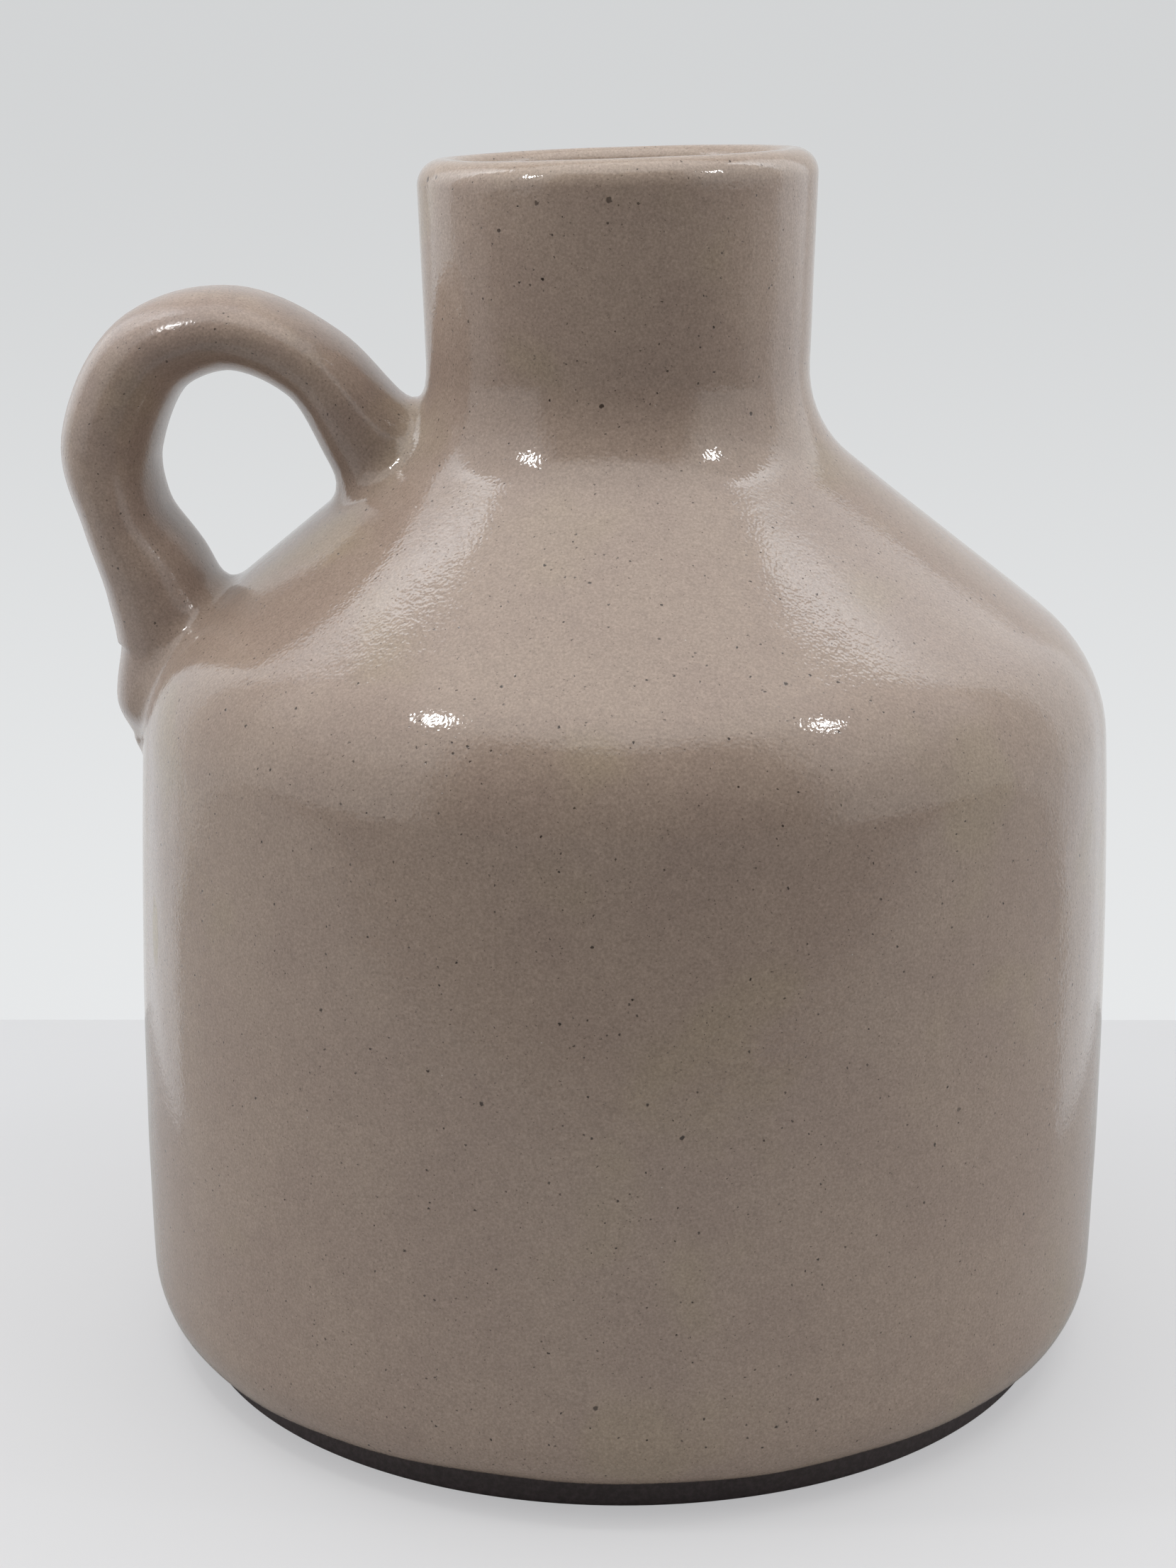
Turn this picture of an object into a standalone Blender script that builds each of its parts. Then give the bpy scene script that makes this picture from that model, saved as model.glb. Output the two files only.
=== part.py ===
"""Stoneware jug with a ring handle, thrown in one piece. Metres, +Z up, the handle towards -X.

The body is one turned profile: underside, inset foot, bellied wall, round shoulder, straight cone, neck,
round lip and the hollow inside. The handle is swept through a few stations and joined to the body.
"""

import math

import bmesh
import bpy
from mathutils import Vector

MM = 0.001

# The jug as a whole
HEIGHT = 150 * MM
WALL = 5.4 * MM
FLOOR = 6.0 * MM

# Foot, bare clay under the edge of the glaze
FOOT_RADIUS = 56.3 * MM
FOOT_HEIGHT = 3.7 * MM
FOOT_CHAMFER = 0.7 * MM

# Wall, widest at its belly, and the quarter oval that it turns under with
BELLY_RADIUS = 61.94 * MM
BELLY_HEIGHT = 30 * MM
SHOULDER_RADIUS = 60.5 * MM
SHOULDER_HEIGHT = 80.2 * MM
HEEL_WIDTH = 4.6 * MM
HEEL_HEIGHT = 7.7 * MM

# Shoulder, cone and neck
SHOULDER_ROUND = 18.75 * MM
CONE_ANGLE = math.radians(38.53)
NECK_FILLET = 14.5 * MM
NECK_LOW_RADIUS = 23.25 * MM
NECK_LOW_HEIGHT = 114 * MM
LIP_RADIUS = 24.25 * MM
LIP_ROUND = 3.06 * MM
INNER_CORNER = 8 * MM

# The potter's small errors: the shoulder and the neck sit off the axis, and the rim slopes to the handle
SHOULDER_SHIFT = 0.45 * MM
NECK_SHIFT = -0.26 * MM
RIM_SLOPE = math.radians(1.7)
RIM_SLOPE_FROM = 122 * MM

# Handle stations, from the upper root over the crown to the tip of the tail smeared down the wall:
# distance from the axis, height, half thickness in the handle's plane, half width across it
HANDLE_STATIONS = (
    (25.5 * MM, 109.3 * MM, 9.0 * MM, 11.6 * MM),
    (31.2 * MM, 116.7 * MM, 6.1 * MM, 11.5 * MM),
    (37.6 * MM, 124.8 * MM, 4.8 * MM, 11.2 * MM),
    (47.7 * MM, 129.2 * MM, 5.0 * MM, 11.2 * MM),
    (57.8 * MM, 125.9 * MM, 5.7 * MM, 11.3 * MM),
    (63.0 * MM, 115.5 * MM, 5.9 * MM, 11.4 * MM),
    (61.6 * MM, 106.3 * MM, 5.2 * MM, 11.5 * MM),
    (57.7 * MM, 97.8 * MM, 6.7 * MM, 11.8 * MM),
    (56.0 * MM, 90.2 * MM, 7.1 * MM, 12.0 * MM),
    (59.3 * MM, 81.4 * MM, 4.3 * MM, 10.5 * MM),
    (60.4 * MM, 76.4 * MM, 1.0 * MM, 4.0 * MM),
)

# Facets
BODY_SIDES = 64
HANDLE_SIDES = 20
HANDLE_STEPS = 4
ARC_STEP = math.radians(11.3)
WALL_STEPS = 4

GLAZE_COLOUR = (0.32, 0.265, 0.215, 1.0)
GLAZE_ROUGHNESS = 0.12


def clear_scene():
    for obj in list(bpy.data.objects):
        bpy.data.objects.remove(obj, do_unlink=True)


def glaze_material():
    material = bpy.data.materials.new("glaze")
    material.use_nodes = True
    shader = material.node_tree.nodes["Principled BSDF"]
    shader.inputs["Base Color"].default_value = GLAZE_COLOUR
    shader.inputs["Roughness"].default_value = GLAZE_ROUGHNESS
    shader.inputs["Metallic"].default_value = 0.0
    return material


def arc(centre, across, up, start, end):
    """Points on an oval arc from one angle to the other, both ends included."""
    steps = max(2, math.ceil(abs(end - start) / ARC_STEP))
    angles = [start + (end - start) * i / steps for i in range(steps + 1)]
    return [(centre[0] + across * math.cos(a), centre[1] + up * math.sin(a)) for a in angles]


def wall_curve():
    return (BELLY_RADIUS - SHOULDER_RADIUS) / (SHOULDER_HEIGHT - BELLY_HEIGHT) ** 2


def wall_radius(z):
    return BELLY_RADIUS - wall_curve() * (z - BELLY_HEIGHT) ** 2


def wall_slant(z):
    """The angle of the wall's outward normal above the horizontal."""
    return math.atan(2 * wall_curve() * (z - BELLY_HEIGHT))


def neck_slant():
    """The angle of the neck's outward normal, below the horizontal because the neck widens to the lip."""
    return -math.atan((LIP_RADIUS - NECK_LOW_RADIUS) / (HEIGHT - LIP_ROUND - NECK_LOW_HEIGHT))


def shoulder_centre():
    slant = wall_slant(SHOULDER_HEIGHT)
    across = SHOULDER_RADIUS - SHOULDER_ROUND * math.cos(slant)
    return across, SHOULDER_HEIGHT - SHOULDER_ROUND * math.sin(slant)


def fillet_centre():
    """The centre of the fillet that touches the cone and the neck from outside."""
    cone = Vector((math.sin(CONE_ANGLE), math.cos(CONE_ANGLE)))
    neck = Vector((math.cos(neck_slant()), math.sin(neck_slant())))
    on_cone = cone.dot(Vector(shoulder_centre())) + SHOULDER_ROUND + NECK_FILLET
    on_neck = neck.dot(Vector((LIP_RADIUS, HEIGHT - LIP_ROUND))) + NECK_FILLET
    spread = cone.x * neck.y - cone.y * neck.x
    across = (on_cone * neck.y - on_neck * cone.y) / spread
    up = (cone.x * on_neck - neck.x * on_cone) / spread
    return across, up


def skin(inset, bottom):
    """The wall, shoulder, cone and neck as (radius, height) from the bottom up, set in by a wall's depth."""
    heights = [bottom + (SHOULDER_HEIGHT - bottom) * i / WALL_STEPS for i in range(WALL_STEPS)]
    points = [(wall_radius(z) - inset, z) for z in heights]
    cone_normal = math.pi / 2 - CONE_ANGLE
    rounding = SHOULDER_ROUND - inset
    points += arc(shoulder_centre(), rounding, rounding, wall_slant(SHOULDER_HEIGHT), cone_normal)
    hollow = NECK_FILLET + inset
    points += arc(fillet_centre(), hollow, hollow, cone_normal - math.pi, neck_slant() - math.pi)
    return points


def outside():
    """From the middle of the underside to the crest of the lip."""
    heel_top = FOOT_HEIGHT + HEEL_HEIGHT
    heel_centre = (wall_radius(heel_top) - HEEL_WIDTH, heel_top)
    points = [
        (0.0, 0.0),
        (FOOT_RADIUS - FOOT_CHAMFER, 0.0),
        (FOOT_RADIUS, FOOT_CHAMFER),
        (FOOT_RADIUS, FOOT_HEIGHT),
    ]
    points += arc(heel_centre, HEEL_WIDTH, HEEL_HEIGHT, -math.pi / 2, 0.0)[:-1]
    points += skin(0.0, heel_top)
    lip_centre = (LIP_RADIUS - LIP_ROUND, HEIGHT - LIP_ROUND)
    points += arc(lip_centre, LIP_ROUND, LIP_ROUND, 0.0, math.pi / 2)
    return points


def inside():
    """From below the crest of the lip down to the middle of the floor."""
    inner_round = WALL - LIP_ROUND
    lip_centre = (LIP_RADIUS - LIP_ROUND, HEIGHT - inner_round)
    points = arc(lip_centre, inner_round, inner_round, math.pi / 2, math.pi)[1:]
    corner_top = FLOOR + INNER_CORNER
    points += reversed(skin(WALL, corner_top))
    corner_centre = (wall_radius(corner_top) - WALL - INNER_CORNER, corner_top)
    points += arc(corner_centre, INNER_CORNER, INNER_CORNER, 0.0, -math.pi / 2)[1:]
    points.append((0.0, FLOOR))
    return points


def mid_wall():
    """A core whose skin runs through the middle of the clay, to trim the handle's roots with."""
    depth = WALL / 2
    return [(0.0, depth), *skin(depth, depth), (LIP_RADIUS - depth, HEIGHT - depth), (0.0, HEIGHT - depth)]


def ease(value, start, end):
    """0 before start, 1 after end, and a smooth step between."""
    share = min(1.0, max(0.0, (value - start) / (end - start)))
    return share * share * (3 - 2 * share)


def as_thrown(x, y, z):
    """A point of the true turned form, moved as the real jug is off true."""
    shift = SHOULDER_SHIFT * ease(z, 0.0, SHOULDER_HEIGHT)
    shift += (NECK_SHIFT - SHOULDER_SHIFT) * ease(z, SHOULDER_HEIGHT, NECK_LOW_HEIGHT)
    rise = math.tan(RIM_SLOPE) * x * ease(z, RIM_SLOPE_FROM, HEIGHT)
    return Vector((x + shift, y, z + rise))


def ring_mesh(name, rings):
    """A closed mesh from rings of points. A ring of one point is a pole."""
    shape = bmesh.new()
    made = [[shape.verts.new(point) for point in ring] for ring in rings]
    for low, high in zip(made, made[1:]):
        sides = max(len(low), len(high))
        for i in range(sides):
            j = (i + 1) % sides
            if len(low) == 1:
                corners = (low[0], high[j], high[i])
            elif len(high) == 1:
                corners = (low[i], low[j], high[0])
            else:
                corners = (low[i], low[j], high[j], high[i])
            shape.faces.new(corners)
    bmesh.ops.recalc_face_normals(shape, faces=shape.faces)
    mesh = bpy.data.meshes.new(name)
    shape.to_mesh(mesh)
    shape.free()
    mesh.shade_smooth()
    mesh.set_sharp_from_angle(angle=math.radians(40))
    return mesh


def turned(name, profile):
    """A body of revolution about Z, through as_thrown."""
    rings = []
    for radius, z in profile:
        if radius == 0.0:
            rings.append([as_thrown(0.0, 0.0, z)])
            continue
        turns = [2 * math.pi * i / BODY_SIDES for i in range(BODY_SIDES)]
        rings.append([as_thrown(radius * math.cos(a), radius * math.sin(a), z) for a in turns])
    return ring_mesh(name, rings)


def smooth_stations(stations, steps):
    """Stations on a curve through the given ones, with tangents weighed by the distance between them."""
    points = [Vector(station) for station in stations]
    spans = [(b.xy - a.xy).length for a, b in zip(points, points[1:])]
    last = len(points) - 1
    tangents = []
    for i in range(last + 1):
        before, after = max(i - 1, 0), min(i + 1, last)
        tangents.append((points[after] - points[before]) / sum(spans[before:after]))
    found = []
    for i, span in enumerate(spans):
        for k in range(steps):
            t = k / steps
            found.append(
                points[i] * (1 + 2 * t) * (1 - t) ** 2
                + tangents[i] * span * t * (1 - t) ** 2
                + points[i + 1] * t * t * (3 - 2 * t)
                - tangents[i + 1] * span * t * t * (1 - t)
            )
    found.append(points[last])
    return found


def swept_handle(name):
    """An oval swept through the stations. It starts and ends inside the clay."""
    path = smooth_stations(HANDLE_STATIONS, HANDLE_STEPS)
    rings = [[Vector((-path[0].x, 0.0, path[0].y))]]
    for i, station in enumerate(path):
        along = (path[min(i + 1, len(path) - 1)].xy - path[max(i - 1, 0)].xy).normalized()
        middle = Vector((-station.x, 0.0, station.y))
        out = Vector((along.y, 0.0, along.x))
        ring = []
        for k in range(HANDLE_SIDES):
            angle = 2 * math.pi * k / HANDLE_SIDES
            across = Vector((0.0, station.w * math.sin(angle), 0.0))
            ring.append(middle + out * station.z * math.cos(angle) + across)
        rings.append(ring)
    rings.append([Vector((-path[-1].x, 0.0, path[-1].y))])
    return ring_mesh(name, rings)


def add_object(name, mesh, material=None):
    obj = bpy.data.objects.new(name, mesh)
    bpy.context.scene.collection.objects.link(obj)
    if material:
        mesh.materials.append(material)
    return obj


def as_helper(obj):
    obj.hide_render = True
    obj.display_type = "WIRE"
    return obj


def add_boolean(obj, other, operation):
    modifier = obj.modifiers.new(operation.lower(), "BOOLEAN")
    modifier.operation = operation
    modifier.solver = "EXACT"
    modifier.object = other


def main():
    clear_scene()
    glaze = glaze_material()
    core = as_helper(add_object("wall_core", turned("wall_core", mid_wall())))
    handle = as_helper(add_object("handle_sweep", swept_handle("handle_sweep"), glaze))
    add_boolean(handle, core, "DIFFERENCE")
    jug = add_object("jug", turned("jug", outside() + inside()), glaze)
    add_boolean(jug, handle, "UNION")


main()
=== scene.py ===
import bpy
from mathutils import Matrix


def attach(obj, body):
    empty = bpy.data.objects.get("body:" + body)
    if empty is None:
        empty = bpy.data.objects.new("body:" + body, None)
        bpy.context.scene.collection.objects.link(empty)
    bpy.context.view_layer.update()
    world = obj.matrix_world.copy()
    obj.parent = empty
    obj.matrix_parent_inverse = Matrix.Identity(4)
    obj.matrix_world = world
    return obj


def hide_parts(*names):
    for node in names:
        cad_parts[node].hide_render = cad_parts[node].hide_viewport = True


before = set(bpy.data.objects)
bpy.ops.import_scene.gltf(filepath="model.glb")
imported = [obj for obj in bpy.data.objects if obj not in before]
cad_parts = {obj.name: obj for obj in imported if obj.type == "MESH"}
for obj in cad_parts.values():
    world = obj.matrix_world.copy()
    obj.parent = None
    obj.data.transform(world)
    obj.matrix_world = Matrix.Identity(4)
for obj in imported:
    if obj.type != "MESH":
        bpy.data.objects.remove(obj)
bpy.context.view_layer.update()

# A glazed stoneware jug with a ring handle, on a pale table in a small light tent. Metres, +Z up,
# the handle towards -X, the camera in front, at -Y.

import math

import bmesh
import bpy
import numpy as np
from bpy.props import FloatProperty, FloatVectorProperty, IntProperty, PointerProperty
from mathutils import Matrix, Vector

bl_info = {
    "name": "Stoneware Jug",
    "version": (1, 0, 0),
    "blender": (4, 5, 0),
    "location": "3D Viewport > Sidebar > Jug",
    "description": "Turns a stoneware jug, pulls its ring handle, glazes it and sets it in a light tent",
    "category": "Add Mesh",
}

MM = 0.001
RING_SPACING = 1.5 * MM
INNER_SPACING = 2.6 * MM
FOOT_SPACING = 2 * MM
ARC_STEP = math.radians(6)

# Handle stations, from the upper root over the crown to the tip of the tail smeared down the wall:
# distance from the axis, height, half thickness in the handle's plane, half width across it, in millimetres
HANDLE_STATIONS = (
    (25.5, 109.3, 9.0, 11.6),
    (31.2, 116.7, 6.1, 11.5),
    (37.6, 124.8, 4.8, 11.2),
    (47.7, 129.2, 5.0, 11.2),
    (57.8, 125.9, 5.7, 11.3),
    (63.0, 115.5, 5.9, 11.4),
    (61.6, 106.3, 5.2, 11.5),
    (57.7, 97.8, 6.7, 11.8),
    (56.0, 90.2, 7.1, 12.0),
    (59.3, 82.8, 4.5, 10.5),
    (60.4, 78.4, 1.2, 4.5),
)

# Waves of the glaze's edge round the foot: how many, their height in millimetres and where they start
GLAZE_WAVES = ((1, 0.25, 2.2708), (3, 0.16, 0.4), (7, 0.12, 2.1), (17, 0.07, 1.3))

# The power that fills out the edges of the handle's section: 1 is a plain oval, less is fuller
HANDLE_FULLNESS = 0.82


def length_property(name, description, default):
    unit = {"unit": "LENGTH", "subtype": "DISTANCE"}
    return FloatProperty(name=name, description=description, default=default, **unit)


def number_property(name, description, default):
    return FloatProperty(name=name, description=description, default=default, min=0.0)


def whole_property(name, description, default):
    return IntProperty(name=name, description=description, default=default, min=1, max=1000)


def colour_property(name, description, default):
    return FloatVectorProperty(
        name=name, description=description, default=default, size=3, subtype="COLOR", min=0.0, max=1.0
    )


class JugShape(bpy.types.PropertyGroup):
    """Sizes of the turned body and of the joints of the handle."""

    height: length_property("Height", "From the table to the crest of the lip", 150 * MM)
    wall: length_property("Wall", "Thickness of the clay", 5.4 * MM)
    floor: length_property("Floor", "Thickness of the bottom", 6.0 * MM)
    foot_radius: length_property("Foot radius", "Radius of the bare clay foot", 56.3 * MM)
    foot_height: length_property("Foot height", "Height of the bare clay below the glaze", 3.7 * MM)
    foot_chamfer: length_property("Foot chamfer", "Wear on the lower edge of the foot", 0.7 * MM)
    belly_radius: length_property("Belly radius", "Radius of the body at its widest", 61.94 * MM)
    belly_height: length_property("Belly height", "Height of the widest part", 30 * MM)
    shoulder_radius: length_property("Shoulder radius", "Radius where the shoulder starts", 60.5 * MM)
    shoulder_height: length_property("Shoulder height", "Height where the shoulder starts", 80.2 * MM)
    heel_width: length_property("Heel width", "How far the wall turns in above the foot", 4.6 * MM)
    heel_height: length_property("Heel height", "Height over which the wall turns in", 7.7 * MM)
    shoulder_round: length_property("Shoulder rounding", "Radius of the round shoulder", 18.75 * MM)
    cone_angle: FloatProperty(
        name="Cone angle", description="Slope of the cone", default=math.radians(38.53), subtype="ANGLE"
    )
    neck_fillet: length_property("Neck fillet", "Radius between the cone and the neck", 14.5 * MM)
    neck_low_radius: length_property("Neck radius", "Radius at the bottom of the neck", 23.25 * MM)
    neck_low_height: length_property("Neck height", "Height of the bottom of the neck", 114 * MM)
    lip_radius: length_property("Lip radius", "Outer radius of the lip", 24.25 * MM)
    lip_round: length_property("Lip rounding", "Radius of the lip's outer edge", 3.06 * MM)
    inner_corner: length_property("Inner corner", "Radius between floor and wall inside", 8 * MM)
    shoulder_shift: length_property("Shoulder shift", "How far the shoulder sits off the axis", 0.45 * MM)
    neck_shift: length_property("Neck shift", "How far the neck sits off the axis", -0.26 * MM)
    rim_slope: FloatProperty(
        name="Rim slope", description="Slope of the rim", default=math.radians(1.7), subtype="ANGLE"
    )
    rim_slope_from: length_property("Rim slope from", "Height above which the rim slopes", 122 * MM)
    root_fillet: length_property("Root fillet", "How far the handle's joints are smoothed", 3.2 * MM)
    glaze_bead: length_property("Glaze bead", "Radius of the glaze's edge above the foot", 0.45 * MM)
    ripple: length_property("Ripple", "Height of the long unevenness of the skin", 0.10 * MM)
    ripple_length: length_property("Ripple length", "Length of the unevenness of the skin", 14 * MM)
    sides: whole_property("Sides", "Facets round the body", 200)
    handle_sides: whole_property("Handle sides", "Facets round the handle", 56)
    seed: whole_property("Seed", "Seed of the unevenness", 4)


class JugGlaze(bpy.types.PropertyGroup):
    """Colours of the glaze and of the bare clay, and a painted shade for the handle."""

    glaze: colour_property("Glaze", "Warm grey beige of the glaze", (0.395, 0.304, 0.245))
    mauve: colour_property("Mauve tint", "Cooler patches of the glaze", (0.365, 0.276, 0.226))
    olive: colour_property("Olive tint", "Yellow olive patches", (0.40, 0.32, 0.225))
    # The handle colour is painted shade: a darker mauve, the tone of the handle's shaded parts, laid over the
    # whole handle.
    handle: colour_property("Handle shade", "Mauve painted shade over the handle", (0.305, 0.232, 0.196))
    lip: colour_property("Lip tint", "Paler glaze over the lip", (0.47, 0.375, 0.305))
    smear: colour_property("Smear", "Yellowish run of glaze on the left of the wall", (0.34, 0.25, 0.12))
    speck: colour_property("Speck", "Iron specks", (0.035, 0.022, 0.016))
    clay: colour_property("Bare clay", "Fired clay of the foot", (0.060, 0.049, 0.050))


class JugTent(bpy.types.PropertyGroup):
    """The light tent round the jug: a table, two side walls, a backdrop and two small lamps."""

    wall_distance: length_property("Wall distance", "From the jug's axis to each side wall", 125 * MM)
    right_wall_front: length_property("Right wall front", "Where it starts behind the axis", 15 * MM)
    left_wall_front: length_property("Left wall front", "Where it starts behind the axis", 22 * MM)
    rear_distance: length_property("Backdrop distance", "From the jug's axis to the backdrop", 105 * MM)
    wall_height: length_property("Wall height", "Height of the walls and the backdrop", 330 * MM)
    wall_low: number_property("Wall, low", "Brightness of the side walls near the table", 1.0)
    wall_high: number_property("Wall, high", "Brightness of the side walls near the top", 1.65)
    wall_edge: number_property("Wall edge", "Extra brightness high up at their front edge", 3.6)
    backdrop_low: number_property("Backdrop, low", "Brightness of the backdrop near the table", 0.81)
    backdrop_high: number_property("Backdrop, high", "Brightness of the backdrop behind the neck", 0.66)
    right_lamp: number_property("Right lamp", "Power of the right lamp in watts", 0.034)
    left_lamp: number_property("Left lamp", "Power of the left lamp in watts", 0.064)
    overhead: number_property("Overhead", "Brightness of the light from above", 1.8)
    beside: number_property("Beside", "Brightness of the light from above the side walls", 1.25)
    room: number_property("Room", "Brightness of the room low down at the sides", 0.88)
    background: colour_property("Background", "Tone where nothing stands", (0.665, 0.672, 0.685))
    table: colour_property("Table", "Colour of the table as it lights the jug", (0.62, 0.62, 0.62))
    table_seen: colour_property("Table seen", "Colour of the table as it is seen", (0.33, 0.33, 0.33))
    table_glow: number_property("Table glow", "Light that comes through the table", 0.42)
    table_front: length_property("Table front", "Where the lit part of the table ends", 200 * MM)


# Pits and iron spots that the photograph shows on the front: x, y, z, radius in millimetres, and how dark
SPOTS = (
    (-1.2, -24.2, 145.6, 0.36, 0.7),
    (-2.1, -23.7, 122.4, 0.30, 0.85),
    (-8.8, -22.4, 136.7, 0.22, 1.0),
    (-22.6, -9.1, 147.3, 0.35, 0.7),
    (-21.5, -11.2, 147.6, 0.28, 0.6),
    (-13.8, -19.9, 142.0, 0.24, 0.8),
    (-9.4, -22.4, 145.2, 0.28, 0.7),
    (15.3, -18.4, 120.8, 0.24, 0.8),
    (-40.6, 3.1, 104.0, 0.60, 0.7),
    (-38.1, -0.4, 106.1, 0.45, 0.6),
    (38.3, -48.8, 46.1, 0.30, 0.6),
    (-15.1, -59.7, 51.2, 0.26, 0.9),
    (6.7, -61.4, 47.9, 0.27, 0.9),
    (-2.8, -61.7, 15.6, 0.30, 0.8),
)

# The stage in metres: lamps, floor, backdrop and camera. The lens is in millimetres, and the camera's turns
# are in radians, to the right, down and anticlockwise
LAMP_SIZE = (0.015, 0.022)
RIGHT_LAMP_PLACE = (0.136, -0.078, 0.266)
LEFT_LAMP_PLACE = (-0.113, -0.070, 0.256)
FLOOR_REACH = 3.0
BACKDROP_REACH = 0.8
CAMERA_PLACE = (0.0, -0.330, 0.1608)
CAMERA_LENS = 61.12
CAMERA_TURNS = (-0.01251, 0.26565, -0.00403)


# Section of the turned body


def arc(centre, across, up, start, end):
    """Points on an oval arc from one angle to the other, both ends included."""
    steps = max(3, math.ceil(abs(end - start) / ARC_STEP))
    angles = [start + (end - start) * i / steps for i in range(steps + 1)]
    return [(centre[0] + across * math.cos(a), centre[1] + up * math.sin(a)) for a in angles]


def spread(points, spacing):
    """The same line with extra points, so that no stretch is longer than the spacing."""
    found = [points[0]]
    for (x0, z0), (x1, z1) in zip(points, points[1:]):
        steps = max(1, math.ceil(math.hypot(x1 - x0, z1 - z0) / spacing))
        found += [(x0 + (x1 - x0) * i / steps, z0 + (z1 - z0) * i / steps) for i in range(1, steps + 1)]
    return found


class Section:
    """Half sections of the jug as lists of (radius, height), from the sizes in the panel."""

    def __init__(self, shape):
        self.shape = shape

    def wall_curve(self):
        s = self.shape
        return (s.belly_radius - s.shoulder_radius) / (s.shoulder_height - s.belly_height) ** 2

    def wall_radius(self, z):
        return self.shape.belly_radius - self.wall_curve() * (z - self.shape.belly_height) ** 2

    def wall_slant(self, z):
        return math.atan(2 * self.wall_curve() * (z - self.shape.belly_height))

    def neck_slant(self):
        s = self.shape
        return -math.atan((s.lip_radius - s.neck_low_radius) / (s.height - s.lip_round - s.neck_low_height))

    def shoulder_centre(self):
        s = self.shape
        slant = self.wall_slant(s.shoulder_height)
        across = s.shoulder_radius - s.shoulder_round * math.cos(slant)
        return across, s.shoulder_height - s.shoulder_round * math.sin(slant)

    def fillet_centre(self):
        """The centre of the fillet that touches the cone and the neck from outside."""
        s = self.shape
        cone = Vector((math.sin(s.cone_angle), math.cos(s.cone_angle)))
        neck = Vector((math.cos(self.neck_slant()), math.sin(self.neck_slant())))
        on_cone = cone.dot(Vector(self.shoulder_centre())) + s.shoulder_round + s.neck_fillet
        on_neck = neck.dot(Vector((s.lip_radius, s.height - s.lip_round))) + s.neck_fillet
        across = cone.x * neck.y - cone.y * neck.x
        return (on_cone * neck.y - on_neck * cone.y) / across, (cone.x * on_neck - neck.x * on_cone) / across

    def skin(self, inset, bottom):
        """Wall, shoulder, cone and neck from the bottom up, set in by a depth of clay."""
        s = self.shape
        steps = 30
        heights = [bottom + (s.shoulder_height - bottom) * i / steps for i in range(steps)]
        points = [(self.wall_radius(z) - inset, z) for z in heights]
        cone_normal = math.pi / 2 - s.cone_angle
        rounding = s.shoulder_round - inset
        slant = self.wall_slant(s.shoulder_height)
        points += arc(self.shoulder_centre(), rounding, rounding, slant, cone_normal)
        hollow = s.neck_fillet + inset
        start, end = cone_normal - math.pi, self.neck_slant() - math.pi
        points += arc(self.fillet_centre(), hollow, hollow, start, end)
        return points

    def outside(self):
        """From the glaze edge above the foot to the crest of the lip."""
        s = self.shape
        heel_top = s.foot_height + s.heel_height
        centre = (self.wall_radius(heel_top) - s.heel_width, heel_top)
        points = arc(centre, s.heel_width, s.heel_height, -math.pi / 2, 0.0)[:-1]
        points += self.skin(0.0, heel_top)
        lip = (s.lip_radius - s.lip_round, s.height - s.lip_round)
        points += arc(lip, s.lip_round, s.lip_round, 0.0, math.pi / 2)
        return points

    def inside(self):
        """From below the crest of the lip down to the middle of the floor."""
        s = self.shape
        inner_round = s.wall - s.lip_round
        lip = (s.lip_radius - s.lip_round, s.height - inner_round)
        points = arc(lip, inner_round, inner_round, math.pi / 2, math.pi)[1:]
        corner_top = s.floor + s.inner_corner
        points += reversed(self.skin(s.wall, corner_top))
        corner = (self.wall_radius(corner_top) - s.wall - s.inner_corner, corner_top)
        points += arc(corner, s.inner_corner, s.inner_corner, 0.0, -math.pi / 2)[1:]
        points.append((0.0, s.floor))
        return points

    def glaze_edge(self):
        """The underside of the glazed part, out to the rolled edge of the glaze."""
        s = self.shape
        start = self.outside()[0]
        bead = s.glaze_bead
        roll = arc((start[0] - bead, start[1]), bead, bead, -math.pi, 0.0)
        return [(0.0, s.foot_height), *roll]

    def glazed(self):
        outer = spread(self.glaze_edge() + self.outside()[1:], RING_SPACING)
        return outer + spread(self.inside(), INNER_SPACING)

    def clay_core(self):
        """The middle of the clay, to trim the roots of the handle with."""
        s = self.shape
        depth = s.wall / 2
        top = s.height - depth
        return [(0.0, depth), *self.skin(depth, depth), (s.lip_radius - depth, top), (0.0, top)]

    def foot(self):
        s = self.shape
        worn = s.foot_chamfer
        wear = arc((s.foot_radius - worn, worn), worn, worn, -math.pi / 2, 0.0)
        edge = spread([(FOOT_SPACING, 0.0), *wear, (s.foot_radius, s.foot_height)], FOOT_SPACING)
        return [(0.0, 0.0), *edge, (0.0, s.foot_height)]


def ease(value, start, end):
    """0 before start, 1 after end, and a smooth step between, on arrays or numbers."""
    share = np.clip((value - start) / (end - start), 0.0, 1.0)
    return share * share * (3 - 2 * share)


def off_axis(shape, z):
    """How far the turned form has wandered towards +X at a height."""
    shift = shape.shoulder_shift * ease(z, 0.0, shape.shoulder_height)
    above = ease(z, shape.shoulder_height, shape.neck_low_height)
    return shift + (shape.neck_shift - shape.shoulder_shift) * above


def as_thrown(shape, points):
    """Points of the true turned form, moved as the real jug is off true."""
    moved = points.copy()
    moved[:, 0] += off_axis(shape, points[:, 2])
    rise = math.tan(shape.rim_slope) * ease(points[:, 2], shape.rim_slope_from, shape.height)
    moved[:, 2] += rise * points[:, 0]
    return moved


# Nodes


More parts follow.
